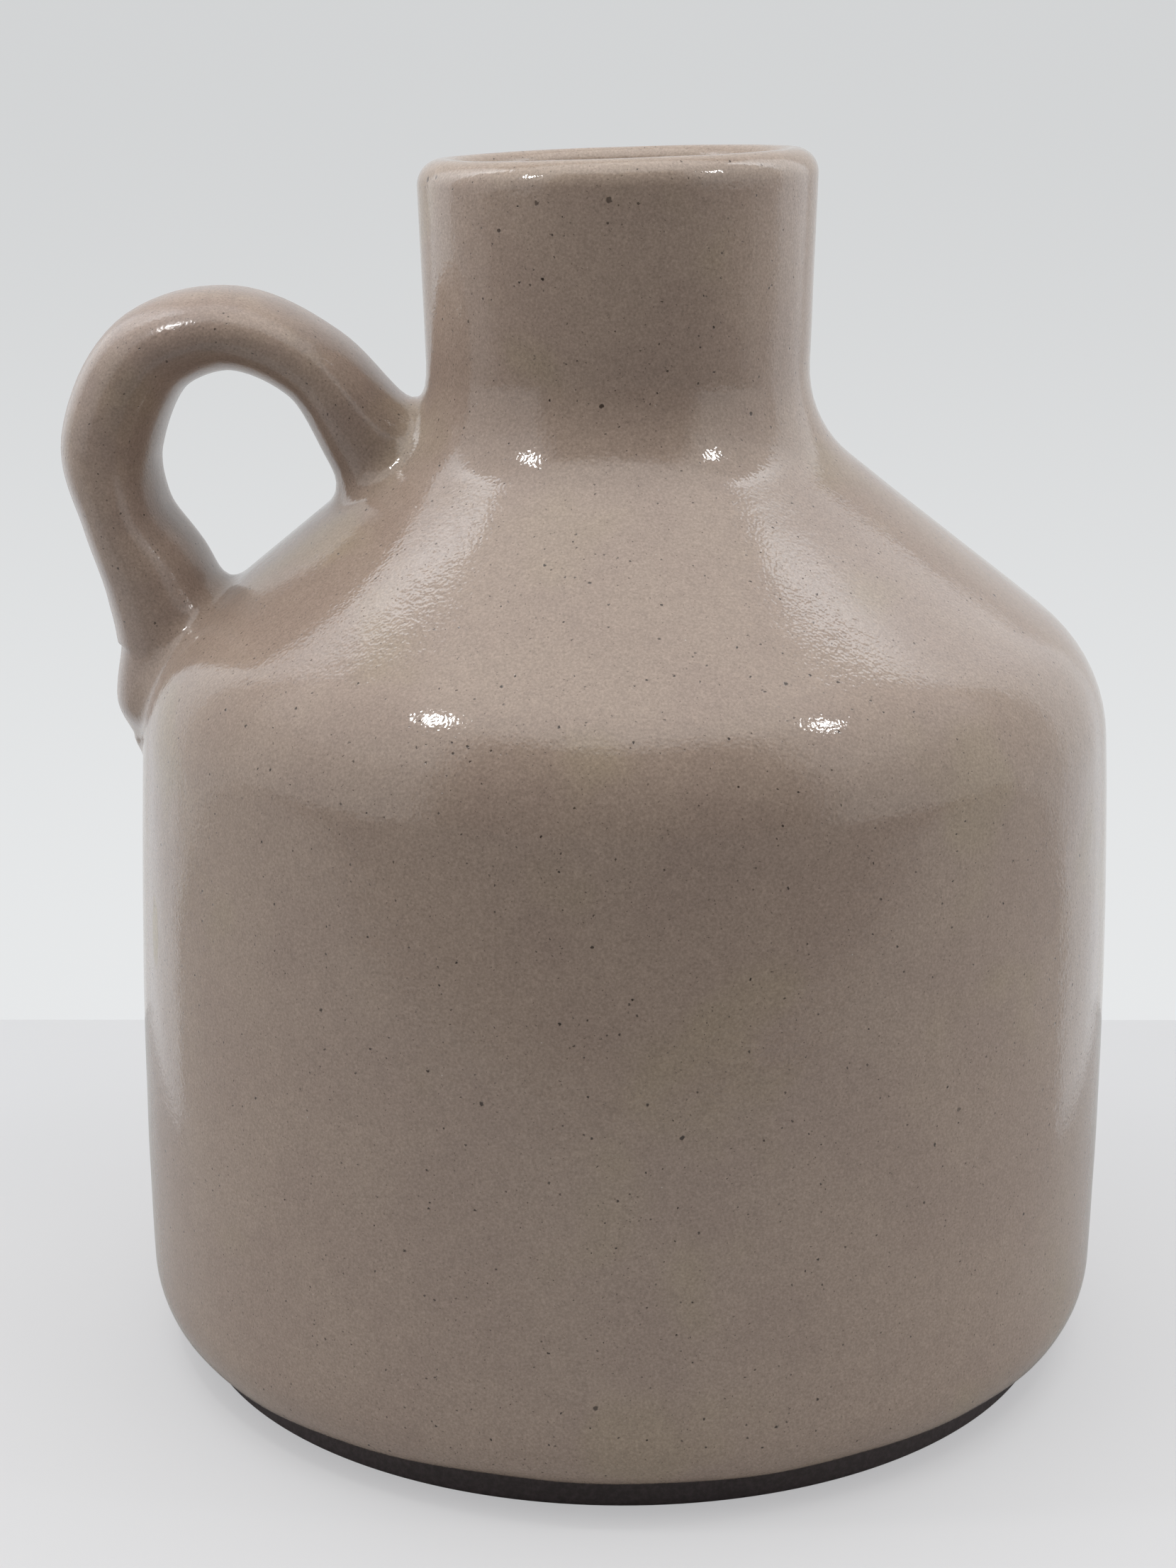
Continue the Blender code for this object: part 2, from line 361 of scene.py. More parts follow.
class Value:
    """A node socket that does sums: an expression on values adds its Math nodes."""

    def __init__(self, graph, socket):
        self.graph = graph
        self.socket = socket

    def maths(self, operation, *others):
        inputs = {i: item for i, item in enumerate((self, *others))}
        return self.graph.node("ShaderNodeMath", {"operation": operation}, inputs)[0]

    def __add__(self, other):
        return self.maths("ADD", other)

    def __sub__(self, other):
        return self.maths("SUBTRACT", other)

    def __mul__(self, other):
        return self.maths("MULTIPLY", other)

    def __truediv__(self, other):
        return self.maths("DIVIDE", other)

    def __rsub__(self, other):
        return (self * -1.0).maths("ADD", other)

    def __rtruediv__(self, other):
        return self.maths("POWER", -1.0) * other

    __radd__ = __add__
    __rmul__ = __mul__

    def over(self, limit):
        return self.maths("GREATER_THAN", limit)

    def step(self, start, end):
        """0 before start, 1 after end, smooth between. The ends may run backwards."""
        settings = {"interpolation_type": "SMOOTHSTEP"}
        inputs = {"Value": self, "From Min": start, "From Max": end}
        return self.graph.node("ShaderNodeMapRange", settings, inputs)[0]


class Made(list):
    """The outputs of a node, by place or by name."""

    def __init__(self, graph, node):
        super().__init__(Value(graph, socket) for socket in node.outputs)
        self.names = [socket.name for socket in node.outputs]

    def __getitem__(self, key):
        return super().__getitem__(self.names.index(key) if isinstance(key, str) else key)


class Graph:
    """Adds nodes to a tree: a type, its settings, and the values or links of its sockets."""

    def __init__(self, tree):
        self.tree = tree
        tree.nodes.clear()

    def node(self, kind, settings=None, inputs=None):
        node = self.tree.nodes.new(kind)
        for key, value in (settings or {}).items():
            setattr(node, key, value)
        for key, value in (inputs or {}).items():
            socket = node.inputs[key]
            if isinstance(value, Value):
                self.tree.links.new(value.socket, socket)
            else:
                socket.default_value = value
        return Made(self, node)

    def vector(self, operation, inputs):
        return self.node("ShaderNodeVectorMath", {"operation": operation}, inputs)

    def place(self):
        """Coordinates on the object, in metres."""
        return self.node("ShaderNodeTexCoord")["Object"]

    def axes(self, place):
        return self.node("ShaderNodeSeparateXYZ", None, {0: place})

    def surface(self, shader):
        self.node("ShaderNodeOutputMaterial", None, {"Surface": shader})

    def mix(self, share, first, second):
        """Two colours mixed by a share."""
        settings = {"data_type": "RGBA", "blend_type": "MIX"}
        first, second = (c if isinstance(c, Value) else (*c[:3], 1.0) for c in (first, second))
        return self.node("ShaderNodeMix", settings, {0: share, 6: first, 7: second})[2]

    def noise(self, place, size, detail=2.0, roughness=0.5):
        """Noise with features of a size in metres, from 0 to 1."""
        inputs = {"Vector": place, "Scale": 1.0 / size, "Detail": detail, "Roughness": roughness}
        return self.node("ShaderNodeTexNoise", {"normalize": True}, inputs)[0]


# Geometry nodes


def node_tree(name, inputs):
    """A geometry tree with named inputs. Returns its graph and its group input."""
    tree = bpy.data.node_groups.new(name, "GeometryNodeTree")
    tree.interface.new_socket("Geometry", in_out="INPUT", socket_type="NodeSocketGeometry")
    for title, kind in inputs:
        tree.interface.new_socket(title, in_out="INPUT", socket_type="NodeSocket" + kind)
    tree.interface.new_socket("Geometry", in_out="OUTPUT", socket_type="NodeSocketGeometry")
    graph = Graph(tree)
    return graph, graph.node("NodeGroupInput")


def close_tree(graph, geometry, material):
    """Real geometry with its material, as the export wants it."""
    real = graph.node("GeometryNodeRealizeInstances", None, {"Geometry": geometry})[0]
    dressed = graph.node("GeometryNodeSetMaterial", None, {"Geometry": real, "Material": material})[0]
    graph.node("NodeGroupOutput", None, {0: dressed})
    return graph.tree


def lathe_tree():
    """Turns a half section, a line of points (radius, 0, height), about Z."""
    wanted = [("Sides", "Int"), ("Hub", "Float"), ("Material", "Material")]
    graph, given = node_tree("turn on the wheel", wanted)
    position = graph.node("GeometryNodeInputPosition")[0]
    axes = graph.axes(position)
    inputs = {"X": axes["X"] - given["Hub"], "Y": axes["Z"] * -1.0}
    laid = graph.node("ShaderNodeCombineXYZ", None, inputs)[0]
    flat = graph.node("GeometryNodeSetPosition", None, {"Geometry": given["Geometry"], "Position": laid})[0]
    section = graph.node("GeometryNodeMeshToCurve", None, {0: flat})[0]
    inputs = {"Resolution": given["Sides"], "Radius": given["Hub"]}
    circle = graph.node("GeometryNodeCurvePrimitiveCircle", None, inputs)[0]
    inputs = {"Curve": circle, "Profile Curve": section, "Scale": 1.0}
    turned = graph.node("GeometryNodeCurveToMesh", None, inputs)[0]
    inputs = {"Geometry": turned, "Distance": 0.02 * MM}
    merged = graph.node("GeometryNodeMergeByDistance", None, inputs)[0]
    return close_tree(graph, merged, given["Material"])


def sweep_tree():
    """Sweeps a flat oval with full edges along a line of points that carry half_thickness and broadening."""
    graph, given = node_tree("pull the handle", [("Sides", "Int"), ("Material", "Material")])
    path = graph.node("GeometryNodeMeshToCurve", None, {0: given["Geometry"]})[0]
    inputs = {"Resolution": given["Sides"], "Radius": 1.0}
    circle = graph.node("GeometryNodeCurvePrimitiveCircle", None, inputs)[0]
    float_type = {"data_type": "FLOAT"}
    half = graph.node("GeometryNodeInputNamedAttribute", float_type, {"Name": "half_thickness"})[0]
    inputs = {"Curve": path, "Profile Curve": circle, "Scale": half, "Fill Caps": True}
    tube = graph.node("GeometryNodeCurveToMesh", None, inputs)[0]
    axes = graph.axes(graph.node("GeometryNodeInputPosition")[0])
    broad = graph.node("GeometryNodeInputNamedAttribute", float_type, {"Name": "broadening"})[0]
    across = (axes["Y"].maths("ABSOLUTE") / half).maths("POWER", HANDLE_FULLNESS) * half * broad
    inputs = {"X": axes["X"], "Y": across * axes["Y"].maths("SIGN"), "Z": axes["Z"]}
    place = graph.node("ShaderNodeCombineXYZ", None, inputs)[0]
    oval = graph.node("GeometryNodeSetPosition", None, {"Geometry": tube, "Position": place})[0]
    return close_tree(graph, oval, given["Material"])


def ripple_tree():
    """Lifts and lowers a skin along its normals by a seeded noise, but not where it stands on the foot."""
    wanted = [(name, "Float") for name in ("Height", "Length", "Still below", "Seed")]
    graph, given = node_tree("uneven skin", [*wanted, ("Material", "Material")])
    position = graph.node("GeometryNodeInputPosition")[0]
    height = graph.axes(position)["Z"]
    inputs = {"Vector": position, "W": given["Seed"], "Scale": 1.0 / given["Length"], "Detail": 1.0}
    noise = graph.node("ShaderNodeTexNoise", {"noise_dimensions": "4D", "normalize": True}, inputs)[0]
    inputs = {"Value": height, "From Min": given["Still below"], "From Max": 20 * MM}
    free = graph.node("ShaderNodeMapRange", None, inputs)
    lift = (noise - 0.5) * 2.0 * given["Height"] * free[0]
    normal = graph.node("GeometryNodeInputNormal")[0]
    offset = graph.vector("SCALE", {0: normal, "Scale": lift})[0]
    skin = graph.node("GeometryNodeSetPosition", None, {"Geometry": given["Geometry"], "Offset": offset})[0]
    return close_tree(graph, skin, given["Material"])


def shaped(obj, tree, values):
    """The plain mesh that a tree makes of an object, with the modifier's inputs set by identifier."""
    modifier = obj.modifiers.new(tree.name, "NODES")
    modifier.node_group = tree
    sockets = {item.name: item.identifier for item in tree.interface.items_tree if item.in_out == "INPUT"}
    for title, value in values.items():
        modifier[sockets[title]] = value
    mesh = evaluated_mesh(obj)
    obj.modifiers.remove(modifier)
    return mesh


def evaluated_mesh(obj):
    """A plain copy of an object's mesh with its modifiers applied."""
    depsgraph = bpy.context.evaluated_depsgraph_get()
    depsgraph.update()
    return bpy.data.meshes.new_from_object(obj.evaluated_get(depsgraph))


def add_object(name, mesh):
    obj = bpy.data.objects.new(name, mesh)
    bpy.context.scene.collection.objects.link(obj)
    return obj


def line_object(name, points):
    """A mesh of one open line."""
    mesh = bpy.data.meshes.new(name)
    mesh.from_pydata(points, [(i, i + 1) for i in range(len(points) - 1)], [])
    return add_object(name, mesh)


def turned(name, section, shape, material):
    """A closed body of revolution, off true as the jug is."""
    line = line_object(name, [(radius, 0.0, z) for radius, z in section])
    values = {"Sides": shape.sides, "Hub": 10 * MM, "Material": material}
    mesh = shaped(line, lathe_tree(), values)
    bpy.data.objects.remove(line)
    points = read_points(mesh)
    write_points(mesh, as_thrown(shape, points))
    face_outwards(mesh)
    return add_object(name, mesh)


def read_points(mesh):
    flat = np.empty(len(mesh.vertices) * 3, np.float64)
    mesh.vertices.foreach_get("co", flat)
    return flat.reshape(-1, 3)


def write_points(mesh, points):
    mesh.vertices.foreach_set("co", np.ascontiguousarray(points, np.float32).ravel())
    mesh.update()


def face_outwards(mesh):
    """Recalculates the normals of a closed shell."""
    shape = bmesh.new()
    shape.from_mesh(mesh)
    bmesh.ops.recalc_face_normals(shape, faces=shape.faces)
    if shape.calc_volume(signed=True) < 0:
        bmesh.ops.reverse_faces(shape, faces=shape.faces)
    shape.to_mesh(mesh)
    shape.free()


# Handle


def handle_path(steps):
    """Stations on a smooth curve through the given ones, in metres, towards -X."""
    given = np.array(HANDLE_STATIONS) * MM
    given[:, 0] *= -1
    spans = np.hypot(*np.diff(given[:, :2], axis=0).T)
    last = len(given) - 1
    tangents = np.array([
        (given[min(i + 1, last)] - given[max(i - 1, 0)]) / spans[max(i - 1, 0):min(i + 1, last)].sum()
        for i in range(last + 1)
    ])
    found = []
    for i, span in enumerate(spans):
        for k in range(steps):
            t = k / steps
            found.append(
                given[i] * (1 + 2 * t) * (1 - t) ** 2
                + tangents[i] * span * t * (1 - t) ** 2
                + given[i + 1] * t * t * (3 - 2 * t)
                - tangents[i + 1] * span * t * t * (1 - t)
            )
    found.append(given[last])
    return np.array(found)


def handle_sweep(shape, material):
    stations = handle_path(10)
    line = line_object("handle_path", [(x, 0.0, z) for x, z, _, _ in stations])
    thick, wide = stations[:, 2:].T
    for name, values in (("half_thickness", thick), ("broadening", wide / thick)):
        attribute = line.data.attributes.new(name, "FLOAT", "POINT")
        attribute.data.foreach_set("value", values.astype(np.float32))
    mesh = shaped(line, sweep_tree(), {"Sides": shape.handle_sides, "Material": material})
    bpy.data.objects.remove(line)
    face_outwards(mesh)
    return add_object("handle_sweep", mesh)


def handle_gap(points):
    """About how far points stand off the swept handle, negative inside it."""
    path = handle_path(24)
    starts, ends = path[:-1], path[1:]
    along = ends[:, :2] - starts[:, :2]
    lengths = np.hypot(*along.T)
    flat = points[:, [0, 2]]
    share = np.einsum("nsk,sk->ns", flat[:, None] - starts[None, :, :2], along) / lengths**2
    share = np.clip(share, 0.0, 1.0)
    foot = starts[None, :, :2] + share[..., None] * along[None]
    reach = np.hypot(*(flat[:, None] - foot).transpose(2, 0, 1))
    nearest = reach.argmin(axis=1)
    rows = np.arange(len(points))
    share = share[rows, nearest]
    offset = flat - foot[rows, nearest]
    tangent = along[nearest] / lengths[nearest, None]
    beyond = np.einsum("nk,nk->n", offset, tangent)
    out = offset[:, 0] * tangent[:, 1] - offset[:, 1] * tangent[:, 0]
    size = starts[nearest, 2:] * (1 - share)[:, None] + ends[nearest, 2:] * share[:, None]
    thick, wide = size.T
    across = np.abs(points[:, 1] / wide)
    power = 1 / HANDLE_FULLNESS
    ratio = np.sqrt((out / thick) ** 2 + across ** (2 * power) + (beyond / thick) ** 2) + 1e-9
    sideways = power * across ** (2 * power - 1) / wide
    slope = np.sqrt((out / thick**2) ** 2 + sideways**2 + (beyond / thick**2) ** 2) / ratio + 1e-9
    return (ratio - 1) / slope


def body_gap(shape, points):
    """How far points stand off the outer skin of the turned body, negative inside it."""
    line = np.array(Section(shape).outside())
    x = points[:, 0] - off_axis(shape, points[:, 2])
    flat = np.stack([np.hypot(x, points[:, 1]), points[:, 2]], axis=1)
    starts, along = line[:-1], np.diff(line, axis=0)
    share = np.einsum("nsk,sk->ns", flat[:, None] - starts[None], along) / (along**2).sum(axis=1)
    share = np.clip(share, 0.0, 1.0)
    offset = flat[:, None] - starts[None] - share[..., None] * along[None]
    reach = np.hypot(*offset.transpose(2, 0, 1))
    nearest = reach.argmin(axis=1)
    rows = np.arange(len(points))
    side = along[nearest, 1] * offset[rows, nearest, 0] - along[nearest, 0] * offset[rows, nearest, 1]
    return np.sign(side) * reach[rows, nearest]


def joined_gap(shape, points):
    """The gap to body and handle run together with a soft joint."""
    body = body_gap(shape, points)
    handle = handle_gap(points)
    overlap = np.clip(1 - np.abs(body - handle) / shape.root_fillet, 0.0, None)
    return np.minimum(body, handle) - overlap**2 * shape.root_fillet / 4


def gap_and_slope(gap, points):
    """A gap and its direction of growth, by differences."""
    nudge = 0.02 * MM
    slope = np.empty_like(points)
    for axis in range(3):
        step = np.zeros(3)
        step[axis] = nudge
        slope[:, axis] = (gap(points + step) - gap(points - step)) / (2 * nudge)
    return gap(points), slope


def settle(gap, points):
    """The points moved onto the surface where the gap is nil."""
    value, slope = gap_and_slope(gap, points)
    steepness = np.maximum((slope**2).sum(axis=1), 0.25)
    return points - (value / steepness)[:, None] * slope


def beside_handle(points, inner):
    """Which points lie on the handle's side beyond a distance from the axis, from the wall up to the neck."""
    return np.flatnonzero((points[:, 0] < -inner) & (points[:, 2] > 60 * MM) & (points[:, 2] < 132 * MM))


def smooth_joints(shape, mesh):
    """Runs the sharp joint of body and handle out into a fillet, and evens the mesh around it."""
    points = read_points(mesh)
    chosen = beside_handle(points, 15 * MM)
    body, handle = body_gap(shape, points[chosen]), handle_gap(points[chosen])
    reach = shape.root_fillet
    in_joint = (np.abs(np.minimum(body, handle)) < 0.6 * reach) & (np.abs(body - handle) < 1.9 * reach)
    chosen = chosen[in_joint]
    edges = np.empty(len(mesh.edges) * 2, np.int64)
    mesh.edges.foreach_get("vertices", edges)
    edges = edges.reshape(-1, 2)
    moving = np.zeros(len(points), bool)
    moving[chosen] = True
    both = np.concatenate([edges, edges[:, ::-1]])
    both = both[moving[both[:, 0]]]
    count = np.bincount(both[:, 0], minlength=len(points)).clip(1)[:, None]

    def gap(places):
        return joined_gap(shape, places)

    for _ in range(4):
        points[chosen] = settle(gap, points[chosen])
    for _ in range(14):
        total = np.zeros_like(points)
        np.add.at(total, both[:, 0], points[both[:, 1]])
        pull = (total / count)[chosen] - points[chosen]
        _, slope = gap_and_slope(gap, points[chosen])
        slope /= np.linalg.norm(slope, axis=1)[:, None]
        pull -= np.einsum("nk,nk->n", pull, slope)[:, None] * slope
        points[chosen] += 0.6 * pull
        points[chosen] = settle(gap, points[chosen])
    write_points(mesh, points)


def refine_near_handle(shape, mesh):
    """Splits the faces of the body's skin round the roots of the handle."""
    form = bmesh.new()
    form.from_mesh(mesh)
    centres = np.array([face.calc_center_median() for face in form.faces])
    rows = beside_handle(centres, 10 * MM)
    close = np.abs(handle_gap(centres[rows])) < 7 * MM
    skin = np.abs(body_gap(shape, centres[rows])) < 0.5 * MM
    rows = set(rows[close & skin])
    faces = [face for i, face in enumerate(form.faces) if i in rows]
    edges = list({edge for face in faces for edge in face.edges})
    bmesh.ops.subdivide_edges(form, edges=edges, cuts=1, use_grid_fill=True)
    form.to_mesh(mesh)
    form.free()


def tidy_joint(shape, mesh):
    """Merges the crumbs that the Boolean leaves along the joint, and splits its many-sided faces."""
    form = bmesh.new()
    form.from_mesh(mesh)
    points = np.array([vert.co for vert in form.verts])
    rows = beside_handle(points, 15 * MM)
    seam = (np.abs(body_gap(shape, points[rows])) < 0.5 * MM) & (np.abs(handle_gap(points[rows])) < 0.5 * MM)
    picked = set(rows[seam])
    verts = [vert for i, vert in enumerate(form.verts) if i in picked]
    bmesh.ops.remove_doubles(form, verts=verts, dist=0.25 * MM)
    faces = [face for face in form.faces if len(face.verts) > 4]
    bmesh.ops.triangulate(form, faces=faces)
    form.to_mesh(mesh)
    form.free()


def add_boolean(obj, other, operation):
    modifier = obj.modifiers.new(operation.lower(), "BOOLEAN")
    modifier.operation = operation
    modifier.solver = "EXACT"
    modifier.object = other


def mark_handle(shape, mesh):
    """Notes on the mesh how far each point belongs to the handle, from 0 to 1."""
    points = read_points(mesh)
    rows = np.flatnonzero((points[:, 0] < -20 * MM) & (points[:, 2] > 60 * MM))
    share = np.zeros(len(points), np.float32)
    share[rows] = ease(body_gap(shape, points[rows]), 0.6 * MM, 3.5 * MM)
    mesh.attributes.new("on_handle", "FLOAT", "POINT").data.foreach_set("value", share)


def glaze_line(shape, mesh):
    """The edge of the glaze above the foot wanders a little."""
    points = read_points(mesh)
    turn = np.arctan2(points[:, 1], points[:, 0])
    wander = sum(height * np.sin(count * turn + start) for count, height, start in GLAZE_WAVES)
    outer = np.hypot(points[:, 0], points[:, 1]) > shape.foot_radius - 1 * MM
    low = (1 - ease(points[:, 2], shape.foot_height + 0.5 * MM, shape.foot_height + 4 * MM)) * outer
    low *= points[:, 2] < shape.foot_height + 4 * MM
    points[:, 2] += wander * MM * low
    write_points(mesh, points)


# Materials


def new_graph(name):
    """A new material and the graph of its nodes."""
    material = bpy.data.materials.new(name)
    material.use_nodes = True
    return material, Graph(material.node_tree)


def speck_layer(graph, place, cell, radius, chance):
    """Round specks of a radius on a share of the cells of a size, as a mask from 0 to 1."""
    inputs = {"Vector": place, "Scale": 1.0 / cell, "Randomness": 1.0}
    found = graph.node("ShaderNodeTexVoronoi", None, inputs)
    lot = graph.node("ShaderNodeSeparateColor", None, {0: found["Color"]})
    size = (lot[1] * 0.6 + 0.4) * (radius / cell)
    shape = (found["Distance"] / size).step(1.0, 0.5)
    return shape * lot[0].over(1.0 - chance)


def shaken(graph, place, size, reach):
    """Coordinates pushed about by a noise, so that what is drawn with them has ragged edges."""
    push = graph.node("ShaderNodeTexNoise", None, {"Vector": place, "Scale": 1.0 / size, "Detail": 1.0})[1]
    push = graph.vector("SUBTRACT", {0: push, 1: (0.5, 0.5, 0.5)})[0]
    push = graph.vector("SCALE", {0: push, "Scale": reach})[0]
    return graph.vector("ADD", {0: place, 1: push})[0]


def spot_mask(graph, place, centre, size):
    """1 inside a spot, given by its centre and its half sizes in millimetres, and 0 outside."""
    from_centre = {0: place, 1: tuple(c * MM for c in centre)}
    offset = graph.vector("SUBTRACT", from_centre)[0]
    shares = {0: offset, 1: tuple(1.0 / (s * MM) for s in size)}
    scaled = graph.vector("MULTIPLY", shares)[0]
    reach = graph.vector("LENGTH", {0: scaled})["Value"]
    return reach.step(1.15, 0.75)


def glaze_specks(graph, place, height):
    """Iron specks from big and rare to tiny and many, more of them below the lip, and the known spots."""
    ragged = shaken(graph, place, 0.3 * MM, 0.35 * MM)
    layers = ((3.0, 0.30, 0.18, 0.9), (1.6, 0.23, 0.30, 0.95), (1.2, 0.20, 0.5, 0.75), (0.6, 0.13, 0.7, 0.5))
    specks = None
    for cell, radius, chance, strength in layers:
        layer = speck_layer(graph, ragged, cell * MM, radius * MM, chance) * strength
        specks = layer if specks is None else specks.maths("MAXIMUM", layer)
    collar = height.step(138 * MM, 143 * MM) * height.step(148 * MM, 145 * MM)
    crowd = collar * graph.noise(place, 6 * MM, 1.0).step(0.48, 0.62)
    specks = specks.maths("MAXIMUM", speck_layer(graph, ragged, 0.9 * MM, 0.16 * MM, 0.5) * crowd * 0.6)
    for x, y, z, radius, strength in SPOTS:
        spot = spot_mask(graph, ragged, (x, y, z), (radius, radius, radius)) * strength
        specks = specks.maths("MAXIMUM", spot)
    return specks


def glaze_material(look):
    material, graph = new_graph("speckled glaze")
    place = graph.place()
    height = graph.axes(place)["Z"]

    patches = graph.noise(place, 13 * MM, 2.0)
    colour = graph.mix(patches.step(0.40, 0.64) * 0.6, tuple(look.glaze), tuple(look.mauve))
    stains = graph.noise(place, 19 * MM, 2.0)
    colour = graph.mix(stains.step(0.55, 0.72) * 0.5, colour, tuple(look.olive))
    on_handle = graph.node("ShaderNodeAttribute", {"attribute_name": "on_handle"})["Fac"]
    # Painted shade: the handle and its joints are mixed, unevenly, towards the darker mauve of the handle's
    # shaded parts.
    uneven = 0.15 + 0.45 * graph.noise(place, 7 * MM, 2.0).step(0.40, 0.62)
    colour = graph.mix(on_handle * uneven, colour, tuple(look.handle))
    colour = graph.mix(height.step(146.6 * MM, 148.6 * MM) * 0.55, colour, tuple(look.lip))
    smear = spot_mask(graph, shaken(graph, place, 2 * MM, 1.2 * MM), (-56.5, -23.4, 58.8), (1.6, 1.6, 4.2))
    colour = graph.mix(smear * 0.8, colour, tuple(look.smear))
    cloudy = graph.noise(place, 1.6 * MM, 2.0, 0.6)
    grain = graph.noise(place, 0.30 * MM, 2.0, 0.7)
    tone = 1.0 + (cloudy - 0.5) * 0.20 + (grain - 0.5) * 0.95
    colour = graph.vector("SCALE", {0: colour, "Scale": tone})[0]
    specks = glaze_specks(graph, place, height)
    colour = graph.mix(specks, colour, tuple(look.speck))
    moved = {0: place, 1: (0.31, 0.17, 0.53)}
    elsewhere = graph.vector("ADD", moved)[0]
    pale = speck_layer(graph, elsewhere, 2.6 * MM, 0.12 * MM, 0.35)
    colour = graph.mix(pale * 0.6, colour, (0.72, 0.66, 0.60))

    peel = graph.noise(place, 0.8 * MM, 1.0, 0.5) * (0.022 * MM)
    fine_peel = graph.noise(place, 0.35 * MM, 0.0) * (0.017 * MM)
    swell = graph.noise(place, 4.5 * MM, 1.0) * (0.06 * MM)
    lift = peel + fine_peel + swell - specks * (0.02 * MM)
    bump = graph.node("ShaderNodeBump", None, {"Strength": 1.0, "Distance": 1.0, "Height": lift})[0]
    roughness = 0.08 + 0.11 * on_handle
    inputs = {"Base Color": colour, "Roughness": roughness, "IOR": 1.5, "Normal": bump}
    shader = graph.node("ShaderNodeBsdfPrincipled", None, inputs)[0]
    graph.surface(shader)
    return material


def clay_material(look):
    material, graph = new_graph("bare fired clay")
    place = graph.place()
    grain = graph.noise(place, 0.7 * MM, 4.0, 0.7)
    broad = graph.noise(place, 16 * MM, 2.0)
    pale = tuple(c * 1.7 for c in look.clay)
    colour = graph.mix(grain.step(0.35, 0.7) * 0.7 + broad * 0.3, tuple(look.clay), pale)
    inputs = {"Strength": 1.0, "Distance": 1.0, "Height": grain * (0.09 * MM)}
    bump = graph.node("ShaderNodeBump", None, inputs)[0]
    inputs = {"Base Color": colour, "Roughness": 0.8, "Normal": bump}
    shader = graph.node("ShaderNodeBsdfPrincipled", None, inputs)[0]
    graph.surface(shader)
    return material


# Operators


class JUG_OT_body(bpy.types.Operator):
    """Turns the body, pulls the handle, runs their joints out and glazes them as one piece"""

    bl_idname = "jug.body"
    bl_label = "Glazed Jug"

    def execute(self, context):
        shape = context.scene.jug_shape
        section = Section(shape)
        glaze = glaze_material(context.scene.jug_glaze)
        core = turned("clay_core", section.clay_core(), shape, glaze)
        handle = handle_sweep(shape, glaze)
        add_boolean(handle, core, "DIFFERENCE")
        jug = turned("glazed_jug", section.glazed(), shape, glaze)
        refine_near_handle(shape, jug.data)
        add_boolean(jug, handle, "UNION")
        jug.data = evaluated_mesh(jug)
        jug.modifiers.clear()
        for helper in (core, handle):
            bpy.data.objects.remove(helper)
        tidy_joint(shape, jug.data)
        smooth_joints(shape, jug.data)
        glaze_line(shape, jug.data)
        jug.data.shade_smooth()
        values = {
            "Height": shape.ripple,
            "Length": shape.ripple_length,
            "Still below": shape.foot_height + 1 * MM,
            "Seed": float(shape.seed),
            "Material": glaze,
        }
        jug.data = shaped(jug, ripple_tree(), values)
        mark_handle(shape, jug.data)
        jug.data.shade_smooth()
        if len(jug.data.vertices) < 1000:
            raise RuntimeError("the jug came out empty")
        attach(jug, "root")
        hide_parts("jug")
        return {"FINISHED"}


class JUG_OT_foot(bpy.types.Operator):
    """Turns the bare clay foot that the glaze stops above"""

    bl_idname = "jug.foot"
    bl_label = "Clay Foot"

    def execute(self, context):
        shape = context.scene.jug_shape
        clay = clay_material(context.scene.jug_glaze)
        foot = turned("clay_foot", Section(shape).foot(), shape, clay)
        foot.data.shade_smooth()
        foot.data.set_sharp_from_angle(angle=math.radians(40))
        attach(foot, "root")
        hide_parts("jug")
        return {"FINISHED"}


def level_square(reach, height):
    """The corners of a level square round the axis."""
    turns = ((-1, -1), (1, -1), (1, 1), (-1, 1))
    return [(x * reach, y * reach, height) for x, y in turns]


def stage_object(name, corners, material, seen=True):
    """A flat piece of the stage. Its corners turn anticlockwise, seen from the jug."""
    mesh = bpy.data.meshes.new(name)
    mesh.from_pydata(corners, [], [tuple(range(len(corners)))])
    mesh.materials.append(material)
    obj = add_object(name, mesh)
    obj.visible_camera = seen
    return obj


def cloth_material(graph, material, light, red, blue):
    """Cloth that glows towards the jug and is clear from outside. Red and blue are shares of the green."""
    colour = graph.node("ShaderNodeCombineColor", None, {0: light * red, 1: light, 2: light * blue})[0]
    glow = graph.node("ShaderNodeEmission", None, {"Color": colour})[0]
    clear = graph.node("ShaderNodeBsdfTransparent")[0]
    outside = graph.node("ShaderNodeNewGeometry")["Backfacing"]
    both = graph.node("ShaderNodeMixShader", None, {0: outside, 1: glow, 2: clear})[0]
    graph.surface(both)
    return material


def wall_material(name, tent, front):
    """A side wall of cloth lit through, brightest high up at its front edge."""
    material, graph = new_graph(name)
    place = graph.axes(graph.place())
    light = tent.wall_low + (tent.wall_high - tent.wall_low) * place["Z"].step(90 * MM, 210 * MM)
    edge = place["Z"].step(170 * MM, 275 * MM) * place["Y"].step(front + 55 * MM, front - 5 * MM)
    return cloth_material(graph, material, light + edge * tent.wall_edge, 0.96, 1.04)


def backdrop_material(tent):
    material, graph = new_graph("backdrop")
    height = graph.axes(graph.place())["Z"]
    light = tent.backdrop_low + (tent.backdrop_high - tent.backdrop_low) * height.step(0.0, 170 * MM)
    return cloth_material(graph, material, light, 0.985, 1.01)


